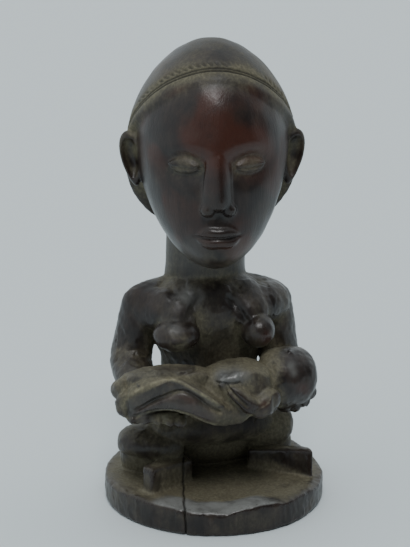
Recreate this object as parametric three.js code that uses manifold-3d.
// Carved maternity figure: a mother sits on a round base and holds a child across her lap.
// One block of dark hardwood, so one closed solid.
// Millimetres. +X is the viewer's right, -Y faces the viewer, +Z is up.
// The origin is the centre of the base's underside.
import * as THREE from "three";
import { mergeVertices } from "three/addons/utils/BufferGeometryUtils.js";
import Module from "manifold-3d";

const wasm = await Module();
wasm.setup();

// Driving dimensions
const HEIGHT = 200;
const BASE_RADIUS = 48.2;
const BASE_HEIGHT = 11;
const SINK = 1.5;

// Height of the rim's top edge at angles in degrees about Z, where 270 faces the viewer
const RIM = [
  [0, 9.8], [16, 11], [30, 12.2], [120, 12], [145, 11], [172, 11.4], [206, 12], [222, 12.4], [236, 12],
  [250, 11], [264, 10.6], [273, 12.2], [284, 12.8], [296, 11.6], [312, 11.4], [330, 10.6], [345, 11.2],
  [360.001, 9.8],
];

const HEAD = {
  at: [-0.7, 2, 0],
  turn: THREE.MathUtils.degToRad(-8),
  chin: 108.5,
  hairline: 186,
  skullTop: 198,
  widest: 157,
  faceHalfWidth: 32,
  faceDepth: 37.5,
  hairHalfWidth: 36.2,
  hairFront: 39.5,
  hairBack: 36,
  hairMiddle: 150,
  hairBottom: 117,
};

// Small helpers
const clamp01 = (value) => Math.min(1, Math.max(0, value));
const smooth = (from, to, value) => {
  const t = clamp01((value - from) / (to - from));
  return t * t * (3 - 2 * t);
};
const bell = (distance, spread) => Math.exp(-((distance / spread) ** 2));

// A closed solid from any watertight geometry
function solid(geometry) {
  geometry.deleteAttribute("normal");
  geometry.deleteAttribute("uv");
  const merged = mergeVertices(geometry, 1e-5);
  const mesh = new wasm.Mesh({
    numProp: 3,
    vertProperties: new Float32Array(merged.attributes.position.array),
    triVerts: new Uint32Array(merged.index.array),
  });
  return new wasm.Manifold(mesh);
}

// A closed surface: every direction of a unit sphere, poles on +Z and -Z, goes where `place` says
function shell(columns, rows, place) {
  const geometry = new THREE.SphereGeometry(1, columns, rows);
  geometry.rotateX(Math.PI / 2);
  const points = geometry.attributes.position;
  const direction = new THREE.Vector3();
  for (let i = 0; i < points.count; i += 1) {
    direction.fromBufferAttribute(points, i).normalize();
    const moved = place(direction);
    points.setXYZ(i, moved.x, moved.y, moved.z);
  }
  return solid(geometry);
}

// An ellipsoid, turned by three angles in degrees, after an optional warp of the unit ball
function ball({ at, radii, turn = [0, 0, 0], columns = 8, rows = 6, warp = null }) {
  const centre = new THREE.Vector3(...at);
  const size = new THREE.Vector3(...radii);
  const rotation = new THREE.Euler(...turn.map((degrees) => THREE.MathUtils.degToRad(degrees)));
  return shell(columns, rows, (d) => {
    const point = d.clone();
    if (warp) warp(point);
    return point.multiply(size).applyEuler(rotation).add(centre);
  });
}

// A limb: sections along a smooth path, rounded off at both ends.
// Each station is [x, y, z, half width along `side`, half thickness across it].
// `square` 2 makes the sections oval, 4 makes them bars with soft corners.
function limb({ stations, side = [1, 0, 0], blunt = 5, square = 2, columns = 12, rows = 8 }) {
  const curve = (points) => new THREE.CatmullRomCurve3(points, false, "catmullrom");
  const path = curve(stations.map(([x, y, z]) => new THREE.Vector3(x, y, z)));
  const sizes = curve(stations.map(([, , , wide, thick]) => new THREE.Vector3(wide, thick, 0)));
  const across = new THREE.Vector3(...side);
  return shell(columns, rows, (d) => {
    const t = (1 - d.z) / 2;
    const swell = Math.sqrt(Math.max(0, 1 - Math.abs(d.z) ** blunt));
    const sum = Math.abs(d.x) ** square + Math.abs(d.y) ** square;
    const reach = swell / (sum ** (1 / square) || 1);
    const tangent = path.getTangent(t);
    const first = across.clone().addScaledVector(tangent, -across.dot(tangent)).normalize();
    const second = first.clone().cross(tangent);
    const size = sizes.getPoint(t);
    const point = path.getPoint(t);
    point.addScaledVector(first, size.x * reach * d.x);
    return point.addScaledVector(second, size.y * reach * d.y);
  });
}

const join = (pieces) => pieces.reduce((whole, piece) => whole.add(piece));
const ACROSS = [0, 1, 0];
const UPRIGHT = [0, 0, 1];

// The mother's head. Face heights are equal thirds of the way from hairline to chin,
// the face is five eyes wide, the nose one eye wide and the mouth one and a half.
const FACE_THIRD = (HEAD.hairline - HEAD.chin) / 3;
const BROW = HEAD.hairline - FACE_THIRD;
const NOSE_BASE = BROW - FACE_THIRD;
const EYE_LINE = (HEIGHT + HEAD.chin) / 2;
const MOUTH = NOSE_BASE - FACE_THIRD / 3;
const EYE_WIDTH = (2 * HEAD.faceHalfWidth) / 5;

// From the head's own frame, where it looks along -Y, to the figure's
function turned(point) {
  point.applyAxisAngle(new THREE.Vector3(0, 0, 1), HEAD.turn);
  return point.add(new THREE.Vector3(...HEAD.at));
}

// The plain egg of skull and face at a level between -1 (chin) and 1 (top)
function eggAt(level) {
  const ring = Math.sqrt(Math.max(0, 1 - level ** 2));
  const low = Math.max(0, -level);
  const high = Math.max(0, level);
  return {
    z: HEAD.widest + high * (HEAD.skullTop - HEAD.widest) - low * (HEAD.widest - HEAD.chin),
    width: HEAD.faceHalfWidth * ring ** (1 + 0.2 * high) * (1 - 0.1 * low),
    depth: HEAD.faceDepth * ring ** (1 - 0.15 * high),
    forward: 20 * low ** 1.7,
  };
}

// Where the front of the egg is at x, z
function faceFront(x, z) {
  const up = z - HEAD.widest;
  const level = up > 0 ? up / (HEAD.skullTop - HEAD.widest) : up / (HEAD.widest - HEAD.chin);
  const egg = eggAt(level);
  return -egg.depth * Math.sqrt(Math.max(0, 1 - (x / egg.width) ** 2)) - egg.forward;
}

// The soft relief of the face: eye sockets, brows, cheeks, muzzle and chin
function faceRelief(x, z) {
  const side = Math.abs(x);
  const fromEye = side - EYE_WIDTH;
  const socket = -4.4 * bell(fromEye, 8.5) * bell(z - EYE_LINE, 6.5);
  const brow = 1.6 * bell(fromEye, 11) * bell(z - BROW - 2 + 0.03 * fromEye ** 2, 4);
  const bridge = 1.5 * bell(side, 5) * bell(z - BROW, 7);
  const muzzle = 2 * bell(side, 12) * bell(z - MOUTH, 8);
  const chin = 1.6 * bell(side, 8) * bell(z - HEAD.chin - 7, 6);
  return socket + brow + bridge + muzzle + chin;
}

// Skull and face: an egg that narrows and leans forward to the chin, with most points in front
function skull() {
  return shell(28, 26, (d) => {
    const turn = Math.atan2(d.x, -d.y);
    const around = turn - 0.5 * Math.sin(turn);
    const down = Math.acos(d.z);
    const egg = eggAt(Math.cos(down + 0.12 * Math.sin(2 * down)));
    const x = egg.width * Math.sin(around);
    const y = -egg.depth * Math.cos(around) - egg.forward;
    const front = smooth(-0.1, 0.5, Math.cos(around));
    return turned(new THREE.Vector3(x, y - front * faceRelief(x, egg.z), egg.z));
  });
}

// Nose, closed eyes and lips are forms of their own on the egg
function features() {
  const onFace = (x, z, inward) => turned(new THREE.Vector3(x, faceFront(x, z) + inward, z)).toArray();
  const ridge = (BROW + NOSE_BASE) / 2 + 2;
  const nose = limb({
    stations: [
      [...onFace(0, BROW + 1, 1.5), 4.4, 3.4],
      [...onFace(0, ridge, 1.4), 5.8, 6],
      [...onFace(0, NOSE_BASE + 2, 1), 7, 7.8],
    ],
    blunt: 9,
    square: 1.35,
    columns: 8,
  });
  const almond = (point) => {
    point.z *= 1 - 0.55 * Math.abs(point.x) ** 1.6;
    point.y -= 0.5 * point.x ** 2 - 0.2;
  };
  const half = 0.75 * EYE_WIDTH;
  const pieces = [nose];
  for (const way of [-1, 1]) {
    const wing = { at: onFace(way * 4.2, NOSE_BASE + 2.8, 0.4), radii: [3.2, 4, 3], columns: 6, rows: 5 };
    const eye = {
      at: onFace(way * EYE_WIDTH, EYE_LINE - 0.5, 3.5),
      radii: [EYE_WIDTH / 2 + 0.8, 3.4, 4],
      turn: [6, 0, THREE.MathUtils.radToDeg(HEAD.turn) + way * 25],
      warp: almond,
      columns: 10,
      rows: 6,
    };
    const z = MOUTH + way * 1.9;
    const lip = [
      [...onFace(-half, MOUTH, -0.6), 0.7, 1],
      [...onFace(-half / 2, z + way * 0.2, -1.4), 2, 1.7],
      [...onFace(0, z, -1.7), 2.2, 1.9],
      [...onFace(half / 2, z + way * 0.2, -1.4), 2, 1.7],
      [...onFace(half, MOUTH, -0.6), 0.7, 1],
    ];
    pieces.push(ball(wing), ball(eye), limb({ stations: lip, side: UPRIGHT, columns: 6 }));
  }
  return join(pieces);
}

// The tall smooth hair cap, cut back along the hairline in front
function hair() {
  const cap = shell(26, 16, (d) => {
    const around = Math.atan2(d.x, -d.y);
    const level = d.z;
    const ring = Math.hypot(d.x, d.y);
    const up = HEIGHT - HEAD.hairMiddle;
    const z = HEAD.hairMiddle + (level > 0 ? level * up : level * (HEAD.hairMiddle - HEAD.hairBottom));
    const swell = level > 0 ? ring ** 1.08 : ring ** 0.75;
    const reach = level > 0 ? ring ** 0.92 : ring ** 0.75;
    const depth = Math.cos(around) > 0 ? HEAD.hairFront : HEAD.hairBack;
    const lean = level > 0 ? 0 : 3 * level ** 2;
    const x = HEAD.hairHalfWidth * swell * Math.sin(around);
    return turned(new THREE.Vector3(x, -depth * reach * Math.cos(around) + lean, z));
  });
  const ear = [-5, 163];
  const upSlope = -0.84;
  const downSlope = -0.3;
  const top = HEIGHT + 10;
  const bottom = HEAD.chin - 10;
  const outline = new THREE.Shape();
  outline.moveTo(...ear);
  outline.lineTo(ear[0] + upSlope * (top - ear[1]), top);
  outline.lineTo(-80, top);
  outline.lineTo(-80, bottom);
  outline.lineTo(ear[0] + downSlope * (bottom - ear[1]), bottom);
  const block = new THREE.ExtrudeGeometry(outline, { depth: 100, bevelEnabled: false });
  block.translate(0, 0, -50);
  block.rotateY(Math.PI / 2);
  block.rotateX(Math.PI / 2);
  block.rotateZ(HEAD.turn);
  block.translate(...HEAD.at);
  return cap.subtract(solid(block));
}

// An ear: a ball, narrow at the lobe, its front pressed in to a dish; `way` is -1 left, 1 right
function ear(way) {
  const cup = (point) => {
    const inside = clamp01(1 - (point.x / 0.72) ** 2 - ((point.z - 0.05) / 0.74) ** 2);
    if (point.y < 0) point.y += 1.6 * inside ** 0.6;
    point.x *= 0.78 + 0.3 * point.z;
  };
  return ball({
    at: turned(new THREE.Vector3(way * 33.2, -4.5, 151)).toArray(),
    radii: [6, 3.4, 12],
    turn: [0, way * 9, THREE.MathUtils.radToDeg(HEAD.turn) + way * 20],
    warp: cup,
    columns: 10,
    rows: 9,
  });
}

// Neck, body and shoulders
function trunk() {
  const neck = [
    [-2.2, 9, 84, 16, 10], [-2.5, 7, 95, 17.4, 13.5], [-2.6, 6, 106, 17, 15.5], [-2.2, 6, 118, 16.8, 16.5],
    [-1, 8, 136, 17, 18],
  ];
  const body = [
    [-2, 5, 101, 19, 13], [-2, 2, 88, 27, 18], [-2, 3, 76, 25, 17.5], [-1.2, 4, 64, 21.3, 16],
    [-1, 7, 48, 22, 17], [0, 13, 30, 27, 18], [0, 17, 9, 28, 15],
  ];
  const shoulders = [
    [-39, 5.5, 86.5, 9.5, 9], [-22, 5, 88.5, 10.5, 9.5], [-2, 6, 90, 13, 11], [18, 4, 87.5, 10.5, 10],
    [35, 4, 85, 9.5, 9],
  ];
  return join([
    limb({ stations: neck, blunt: 16, columns: 16 }),
    limb({ stations: body, blunt: 14, columns: 16, rows: 9 }),
    limb({ stations: shoulders, side: ACROSS, rows: 10 }),
  ]);
}

// Arms hang outwards to the elbows, then the forearms reach forward under the child
function arms() {
  const left = [
    [-31, 4, 95, 8, 7], [-32.3, 6, 79, 8.6, 9.5], [-35.4, 5, 63, 8.8, 9.5], [-35.6, -7, 58.5, 8.6, 8],
    [-35, -20, 57.5, 7.5, 7],
  ];
  const right = [
    [27.5, 3, 93, 8, 7], [28.2, 4, 77, 8.2, 9.5], [29.5, 2, 60, 8.6, 9.5], [31, -8, 53, 8, 7.5],
    [30, -20, 50, 7, 6],
  ];
  return join([
    limb({ stations: left, columns: 10, rows: 10 }),
    limb({ stations: right, columns: 10, rows: 10 }),
    ball({ at: [-35.6, 3, 62.5], radii: [9, 9.6, 9] }),
    ball({ at: [29.8, 0, 58.5], radii: [8.6, 9.6, 8.6] }),
  ]);
}

// Drops that grow out of the shoulders and end blunt, each with a small nipple,
// and on the outer side of each a slope that joins it to the arm
function breasts() {
  const left = [
    [-12.5, 5, 94, 5, 5], [-14.4, -4, 92, 6.4, 6.5], [-17, -10.5, 87.5, 7.6, 7], [-19.6, -17, 80.5, 9, 6.5],
  ];
  const right = [
    [8, 4, 97, 6.5, 5.5], [8.6, -4, 93.5, 9.6, 6.5], [11.6, -10.5, 88, 9.6, 6.8], [15.4, -16, 80, 7.4, 6.6],
  ];
  const leftSide = [
    [-34, 5, 85, 8, 8], [-27, 1, 86, 9.5, 8.6], [-20, -5.5, 87, 9.5, 9.8], [-14, -5, 88, 8, 8],
  ];
  const rightSide = [[31, 4, 84, 7, 7.5], [25, 0.5, 86, 9, 8.4], [18, -4, 87, 9, 9.4], [11, -4.5, 88, 8, 8]];
  const drop = { columns: 10, rows: 7 };
  const tip = { columns: 6, rows: 4 };
  return join([
    ...[left, right].map((stations) => limb({ stations, columns: 8, rows: 6 })),
    ...[leftSide, rightSide].map((stations) => limb({ stations, side: UPRIGHT, columns: 8, rows: 5 })),
    ball({ at: [-19.6, -17.5, 79.6], radii: [9.8, 8.4, 6.8], ...drop }),
    ball({ at: [15.2, -16.5, 79.2], radii: [7.2, 8.4, 7.4], turn: [0, 20, 0], ...drop }),
    ball({ at: [-20.6, -25.2, 79.6], radii: [2.8, 1.4, 1.5], ...tip }),
    ball({ at: [16.4, -24, 79], radii: [1.6, 1.2, 1.5], ...tip }),
  ]);
}

// A lap between two knees, a shin on each side that comes back in to the foot, and its far side
function legs() {
  const lap = [
    [-32, -3, 33, 6, 9], [-18, 0, 33, 9, 11], [0, 2, 32, 9.5, 12], [14, 3.5, 32, 9.5, 11.5],
    [28, 6, 30.5, 8.5, 9],
  ];
  const leftShin = [
    [-42.3, -1, 25, 5.5, 7], [-35, -3, 28, 7, 9], [-26, -5, 26.5, 7.4, 9.5], [-15, -4, 21, 6.5, 8],
  ];
  const rightShin = [[36.3, 6, 27, 9, 9], [27, 5, 27.5, 9.4, 9.5], [16, 2, 24, 8, 8]];
  const leftBack = [[-39.5, 11, 15, 7.5, 6.5], [-31, 8, 16, 8, 8.5], [-17, 3, 16, 7, 8]];
  const rightBack = [[35, 11, 16, 8, 8], [27, 8, 17, 9, 9], [17, 5, 16, 7, 7]];
  const shins = [leftShin, rightShin].map((stations) => limb({ stations, side: UPRIGHT, blunt: 4 }));
  const far = { side: UPRIGHT, square: 3, columns: 8, rows: 6 };
  const backs = [leftBack, rightBack].map((stations) => limb({ stations, ...far }));
  return join([limb({ stations: lap, side: UPRIGHT, blunt: 9 }), ...shins, ...backs]);
}

// A foot: a squared block on four corners of its plan, its top sloping from toe to heel
function foot({ corners, heelHeight, toeHeight }) {
  const chamfer = 0.9;
  const rise = Math.max(heelHeight, toeHeight) + SINK;
  const outline = new THREE.Shape(corners.map(([x, y]) => new THREE.Vector2(x, y)));
  const block = new THREE.ExtrudeGeometry(outline, {
    depth: rise - 2 * chamfer,
    bevelThickness: chamfer,
    bevelSize: chamfer,
    bevelOffset: -chamfer,
    bevelSegments: 1,
  });
  const heel = new THREE.Vector2(...corners[0]);
  const span = new THREE.Vector2(...corners[2]).sub(heel);
  const points = block.attributes.position;
  for (let i = 0; i < points.count; i += 1) {
    const from = new THREE.Vector2(points.getX(i), points.getY(i)).sub(heel);
    const height = heelHeight + (toeHeight - heelHeight) * clamp01(from.dot(span) / span.lengthSq()) + SINK;
    points.setZ(i, BASE_HEIGHT - SINK + ((points.getZ(i) + chamfer) * height) / rise);
  }
  return solid(block);
}

function feet() {
  const left = [[-15, 1], [-35.4, -20.6], [-32, -26], [-11.5, -11.8]];
  const right = [[19, 6], [14, -3.5], [40, -19], [39.8, -15]];
  return join([
    foot({ corners: left, heelHeight: 9.5, toeHeight: 12.6 }),
    foot({ corners: right, heelHeight: 8.5, toeHeight: 12.8 }),
  ]);
}

// The child lies across the lap with its feet to the left and its head to the right
function child() {
  const head = [
    [15, -21, 58, 12, 12], [22, -21, 58.6, 12.8, 12.5], [30, -18.5, 58.2, 12.8, 12.6],
    [38.8, -16, 57, 11.4, 11.6],
  ];
  const body = [
    [-13, -25, 57, 8.5, 10], [0, -25.5, 57.5, 11, 12], [9, -26, 57.5, 11.6, 12.4],
    [19, -24, 57.5, 10.4, 11.4],
  ];
  const hip = [[-8, -32, 53, 5, 6], [0, -33, 51, 6.5, 6.5], [8, -33, 50.5, 5, 6]];
  const farLeg = [
    [-46.5, -20, 57.5, 4.5, 5], [-40, -22.5, 61.3, 4.6, 5.5], [-33.5, -25, 63.8, 4.4, 6],
    [-24, -27, 65.5, 3.8, 6], [-14, -27, 64.6, 3.6, 6], [-3, -26, 62, 4, 6],
  ];
  const nearLeg = [
    [-46.5, -23, 51.8, 4, 5], [-39.7, -27.5, 57.2, 5, 6], [-32.7, -31.5, 61.8, 5, 6],
    [-24.3, -34, 63.2, 5, 6], [-16.4, -36, 59, 4.8, 6], [-5.5, -35.5, 51.6, 4.6, 6], [1, -33, 48, 4, 5],
  ];
  const lowLeg = [
    [-44, -24, 49.5, 2.2, 4.6], [-38, -27.6, 51.6, 2.6, 5], [-33, -31.8, 55.6, 3.2, 5.2],
    [-26, -35, 57.8, 4.2, 5.2], [-19.5, -37, 57.4, 4.9, 5.4], [-13, -37, 53.6, 4.7, 5.4],
    [-5, -35, 49, 4.4, 5.2], [2, -32, 47, 3.6, 4.6],
  ];
  const upperArm = [[18, -34, 58.4, 5, 4.4], [14, -37.6, 54.6, 5, 4.4], [7, -39.6, 51.4, 4.6, 4]];
  const foreArm = [[8.5, -39.4, 52.4, 4.2, 4], [3.6, -40, 57.6, 3, 3.4], [-2, -38, 63, 2.4, 3]];
  const farArm = [[14, -31, 63.4, 4, 5], [5, -33, 64.6, 4, 5], [-6.5, -34.5, 63.6, 3, 4]];
  const bar = (stations, square, columns, rows) => limb({ stations, side: UPRIGHT, square, columns, rows });
  return join([
    bar(head, 2, 14, 9),
    bar(body, 2.8, 14, 8),
    bar(hip, 2, 8, 6),
    ...[farLeg, nearLeg].map((stations) => bar(stations, 3.6, 8, 10)),
    bar(lowLeg, 2.6, 8, 10),
    ...[upperArm, foreArm, farArm].map((stations) => bar(stations, 2.6, 8, 6)),
  ]);
}

// The mother's left hand with the child's feet in it, and the fingers of both hands
function hands() {
  const pieces = [
    ball({ at: [-43.2, -19, 57.6], radii: [4.8, 5, 4.6] }),
    ball({ at: [-42.6, -25, 51.4], radii: [4.6, 5, 3.4] }),
    ball({ at: [-39.6, -28, 48.3], radii: [3.2, 4, 2.4] }),
    ball({ at: [-28.5, -26, 49.4], radii: [13.5, 8, 4.4] }),
  ];
  const finger = { columns: 6, rows: 4 };
  for (let i = 0; i < 4; i += 1) {
    const under = [-35 + i * 4.6, -29 - i * 1.1, 49 - 0.4 * i];
    const angle = THREE.MathUtils.degToRad(-30 - i * 24);
    const round = [28.4 + 10.4 * Math.cos(angle), -18.5, 57 + 11.6 * Math.sin(angle)];
    pieces.push(ball({ at: under, radii: [2.7, 5, 2.7], turn: [16, 0, 0], ...finger }));
    pieces.push(ball({ at: round, radii: [3.1, 6.5, 3.1], ...finger }));
  }
  return join(pieces);
}

// How far the rim's top edge lies above the flat top at an angle about Z, between the places in RIM
function rimRise(angle) {
  const degrees = (THREE.MathUtils.radToDeg(angle) + 360) % 360;
  const next = RIM.findIndex(([at]) => at > degrees);
  const [from, low] = RIM[next - 1];
  const [to, high] = RIM[next];
  return THREE.MathUtils.mapLinear(degrees, from, to, low, high) - BASE_HEIGHT;
}

// The round base, its edges rounded off and its rim uneven, as a knife left it
function base() {
  const edge = 1.8;
  const inner = BASE_RADIUS - edge;
  const profile = [
    [0, 0], [inner, 0], [BASE_RADIUS, edge],
    [BASE_RADIUS, BASE_HEIGHT - edge], [inner, BASE_HEIGHT], [36, BASE_HEIGHT], [0, BASE_HEIGHT],
  ].map(([radius, height]) => new THREE.Vector2(radius, height));
  const lathe = new THREE.LatheGeometry(profile, 40);
  lathe.rotateX(Math.PI / 2);
  const points = lathe.attributes.position;
  for (let i = 0; i < points.count; i += 1) {
    const [x, y, z] = [points.getX(i), points.getY(i), points.getZ(i)];
    const share = smooth(28, 44, Math.hypot(x, y)) * smooth(4, 8, z);
    points.setZ(i, z + share * rimRise(Math.atan2(y, x)));
  }
  return solid(lathe);
}

const carving = join([
  base(), trunk(), skull(), features(), hair(), ear(-1), ear(1),
  arms(), breasts(), legs(), feet(), child(), hands(),
]);

function meshFrom(whole) {
  const result = whole.getMesh();
  const geometry = new THREE.BufferGeometry();
  geometry.setAttribute("position", new THREE.BufferAttribute(new Float32Array(result.vertProperties), 3));
  geometry.setIndex(new THREE.BufferAttribute(new Uint32Array(result.triVerts), 1));
  geometry.computeVertexNormals();
  return geometry;
}

const wood = new THREE.MeshStandardMaterial({ color: 0x2b1d16, roughness: 0.42, metalness: 0 });
const figure = new THREE.Mesh(meshFrom(carving), wood);
figure.name = "maternity_figure";

const part = new THREE.Group();
part.add(figure);

export default part;
